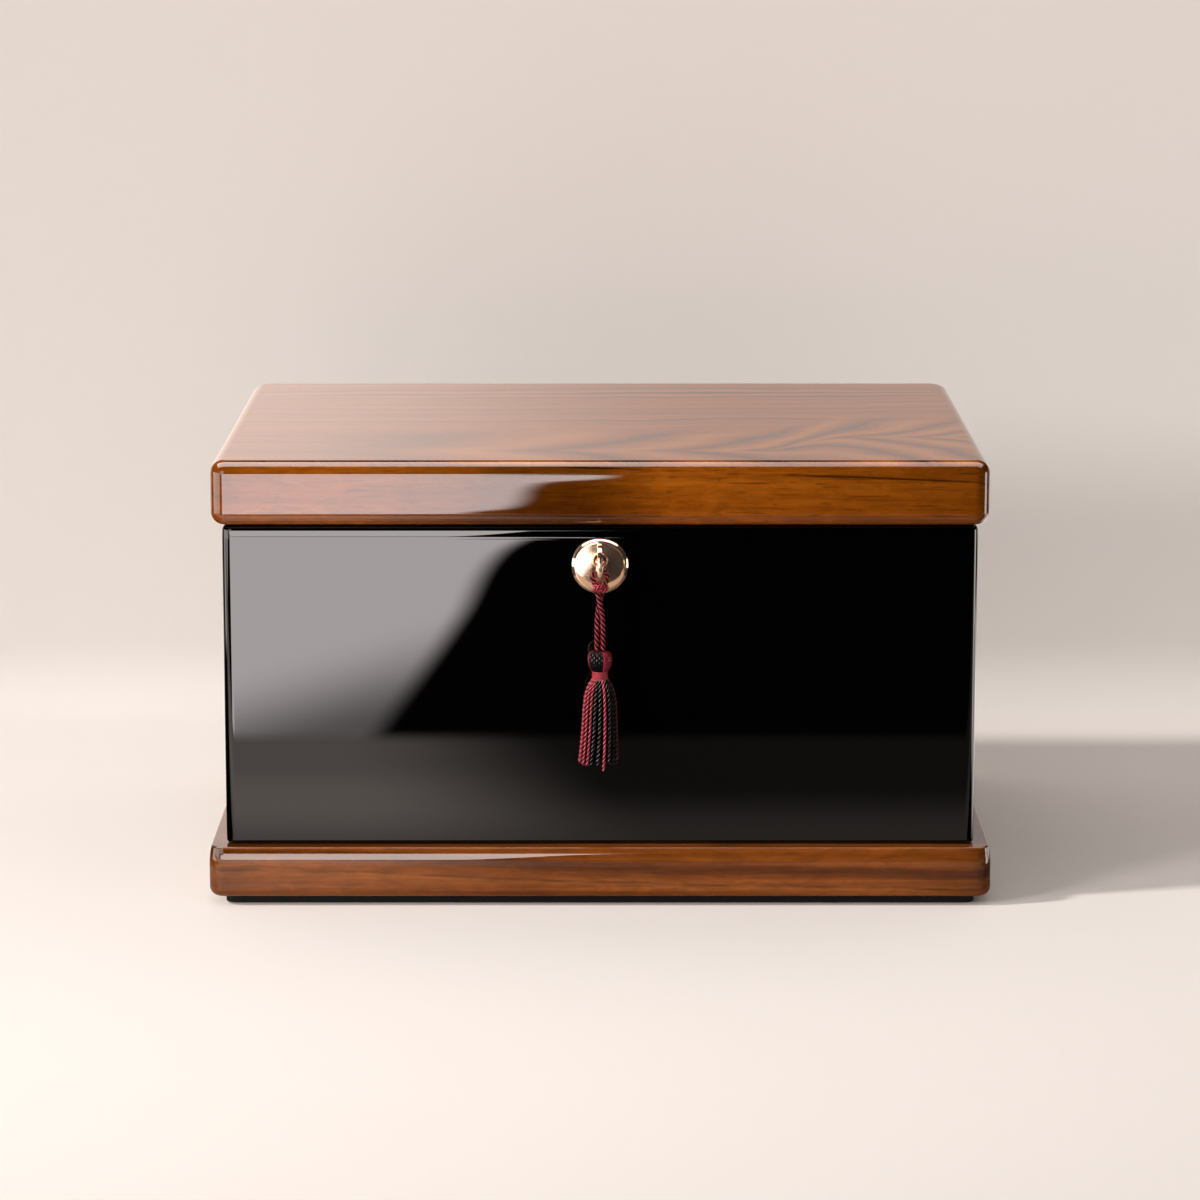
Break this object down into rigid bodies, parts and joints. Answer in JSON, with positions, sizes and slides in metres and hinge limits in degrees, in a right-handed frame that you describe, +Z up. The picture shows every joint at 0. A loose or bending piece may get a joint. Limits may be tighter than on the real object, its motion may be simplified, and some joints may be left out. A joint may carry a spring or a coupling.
{
  "type": "cremation urn chest",
  "caption": "Gloss-lacquered memorial chest: black hollow body between rounded walnut boards, lift-off lid, round lock plate, and a key with a silk tassel.",
  "frame": {"origin": "centre of the underside of the felt pad, on the surface the chest stands on", "axes": "+X to the right along the chest's width, +Y to the back, +Z up; the lock faces -Y"},
  "size_m": [0.305, 0.241, 0.175],
  "materials": {
    "walnut_lacquer": "figured walnut veneer under a thick clear high-gloss lacquer",
    "black_lacquer": "black high-gloss lacquer, polished to a mirror",
    "black_felt": "short matt felt",
    "rose_gold": "polished rose-gold plating on brass",
    "burgundy_silk": "twisted silk cord with a soft sheen",
    "two_colour_silk": "burgundy and black twisted silk strands and woven panels"
  },
  "bodies": {
    "root": {"base_pad": "black_felt", "plinth": "walnut_lacquer", "chest_body": "black_lacquer", "lid": "walnut_lacquer", "escutcheon": "rose_gold", "key": "rose_gold", "tassel_cord": "burgundy_silk", "tassel_knot": "burgundy_silk", "tassel_head": "two_colour_silk", "tassel_neck": "burgundy_silk", "tassel_skirt": "two_colour_silk"}
  },
  "joints": []
}
